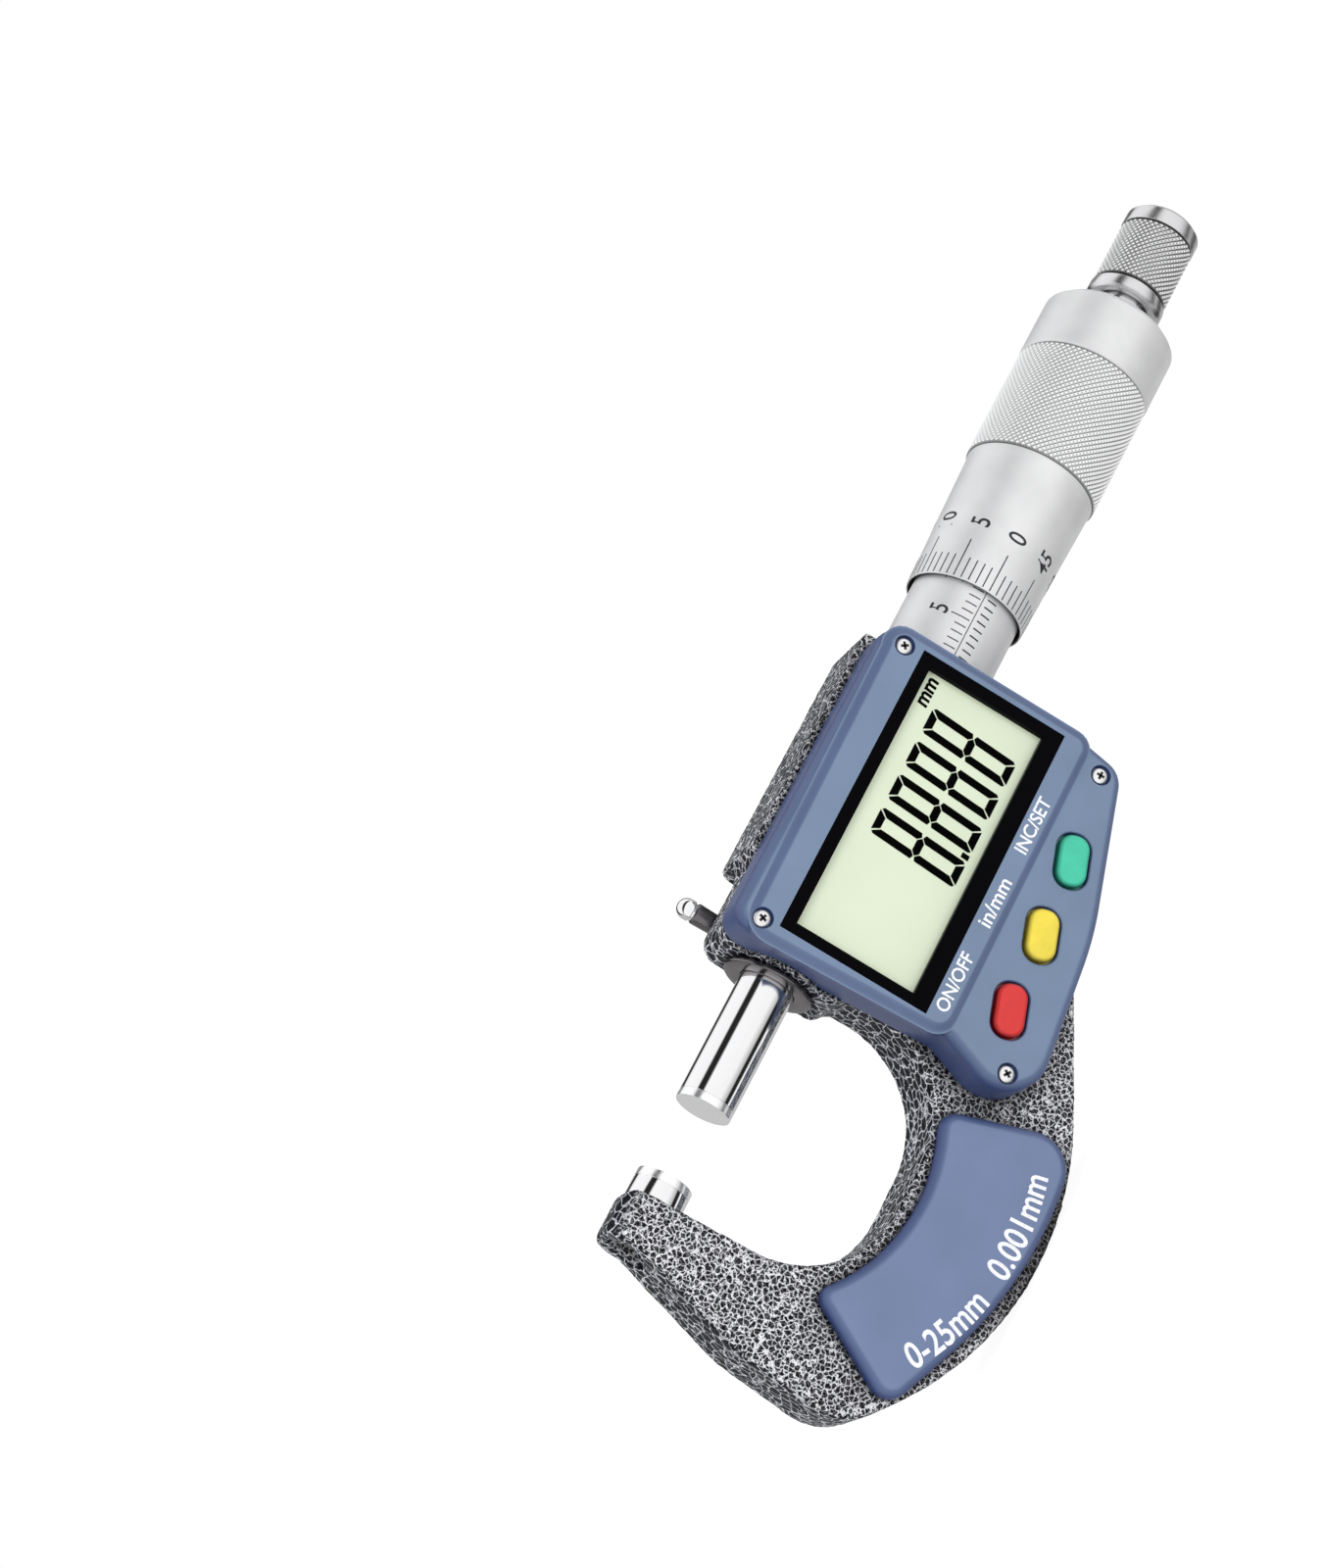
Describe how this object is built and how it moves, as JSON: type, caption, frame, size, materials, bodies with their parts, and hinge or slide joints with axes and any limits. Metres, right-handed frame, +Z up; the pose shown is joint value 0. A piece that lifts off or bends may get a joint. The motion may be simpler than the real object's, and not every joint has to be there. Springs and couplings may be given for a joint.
{
  "type": "outside micrometer",
  "caption": "Digital outside micrometer with a C-frame, screw-fed spindle, graduated thimble, ratchet stop, spindle lock and a display housing with push buttons.",
  "frame": {"origin": "centre of the anvil's measuring face", "axes": "+X along the spindle towards the ratchet, +Y towards the back of the frame, +Z up to the lock lever; the display faces -Y"},
  "size_m": [0.1497, 0.0202, 0.0521],
  "materials": {
    "hammered_paint": "hammered grey enamel on cast iron",
    "carbide": "lapped carbide",
    "polished_steel": "ground and polished",
    "dark_steel": "blackened, turned",
    "steel": "turned",
    "satin_chrome": "satin chrome",
    "board": "glass-epoxy board with copper tracks",
    "brass": "turned",
    "blue_plastic": "moulded, fine satin texture",
    "lens": "clear window with a black printed border",
    "lcd": "pale green reflective display",
    "rubber": "silicone",
    "red_plastic": "moulded",
    "yellow_plastic": "moulded",
    "green_plastic": "moulded",
    "black_plastic": "moulded",
    "battery": "nickel-plated can"
  },
  "bodies": {
    "frame": {"frame": "hammered_paint", "anvil": "polished_steel", "anvil_tip": "carbide", "nose_bush": "dark_steel", "inner_sleeve": "steel", "graduated_sleeve": "satin_chrome", "adjusting_nut": "steel", "encoder_stator": "board", "rotor_washer": "brass", "display_housing": "blue_plastic", "display_lens": "lens", "lcd_panel": "lcd", "lcd_connector": "rubber", "circuit_board": "board", "keypad_membrane": "rubber", "housing_screws": "steel", "battery_holder": "black_plastic", "battery_cell": "battery", "battery_contact": "brass", "front_grip_plate": "blue_plastic", "rear_grip_plate": "blue_plastic"},
    "encoder_rotor": {"encoder_rotor": "board", "rotor_hub": "brass", "rotor_key": "steel"},
    "spindle": {"spindle": "polished_steel", "spindle_tip": "carbide", "thimble": "satin_chrome", "ratchet_hub": "polished_steel", "ratchet_screw": "steel"},
    "ratchet": {"ratchet_knob": "polished_steel", "ratchet_end_cap": "polished_steel", "ratchet_spring": "steel"},
    "click_plate": {"click_plate": "steel"},
    "lock": {"lock_shaft": "steel", "lock_lever": "dark_steel", "lock_lever_screw": "steel"},
    "power_button": {"power_button": "red_plastic"},
    "units_button": {"units_button": "yellow_plastic"},
    "set_button": {"set_button": "green_plastic"},
    "battery_cap": {"battery_cap": "black_plastic"}
  },
  "joints": [
    {"name": "spindle_turn", "type": "hinge", "parent": "frame", "child": "encoder_rotor", "pos_m": [0.056, 0, 0], "axis": [1, 0, 0], "range_deg": [-6490, 11530]},
    {"name": "spindle_feed", "type": "slide", "parent": "encoder_rotor", "child": "spindle", "axis": [1, 0, 0], "range_m": [-0.009, 0.016]},
    {"name": "ratchet_turn", "type": "hinge", "parent": "spindle", "child": "ratchet", "pos_m": [0.13, 0, 0], "axis": [1, 0, 0], "continuous": true},
    {"name": "click_plate_lift", "type": "slide", "parent": "ratchet", "child": "click_plate", "axis": [1, 0, 0], "range_m": [0, 0.0004], "stiffness_N_per_m": 8, "springref_m": -0.0005, "deforming": ["ratchet_spring"]},
    {"name": "lock_swing", "type": "hinge", "parent": "frame", "child": "lock", "pos_m": [0.0301, 0, 0.00495], "axis": [0, 1, 0], "range_deg": [-75, 0]},
    {"name": "power_press", "type": "slide", "parent": "frame", "child": "power_button", "axis": [0, 1, 0], "range_m": [0, 0.00045], "stiffness_N_per_m": 5, "springref_m": -0.0004},
    {"name": "units_press", "type": "slide", "parent": "frame", "child": "units_button", "axis": [0, 1, 0], "range_m": [0, 0.00045], "stiffness_N_per_m": 5, "springref_m": -0.0004},
    {"name": "set_press", "type": "slide", "parent": "frame", "child": "set_button", "axis": [0, 1, 0], "range_m": [0, 0.00045], "stiffness_N_per_m": 5, "springref_m": -0.0004},
    {"name": "battery_cap_turn", "type": "hinge", "parent": "frame", "child": "battery_cap", "pos_m": [0.049, 0.004, -0.0176], "axis": [0, 1, 0], "range_deg": [0, 90]}
  ],
  "couplings": [
    {"joint": "spindle_turn", "follows": "spindle_feed", "rad_per_m": 12566}
  ]
}
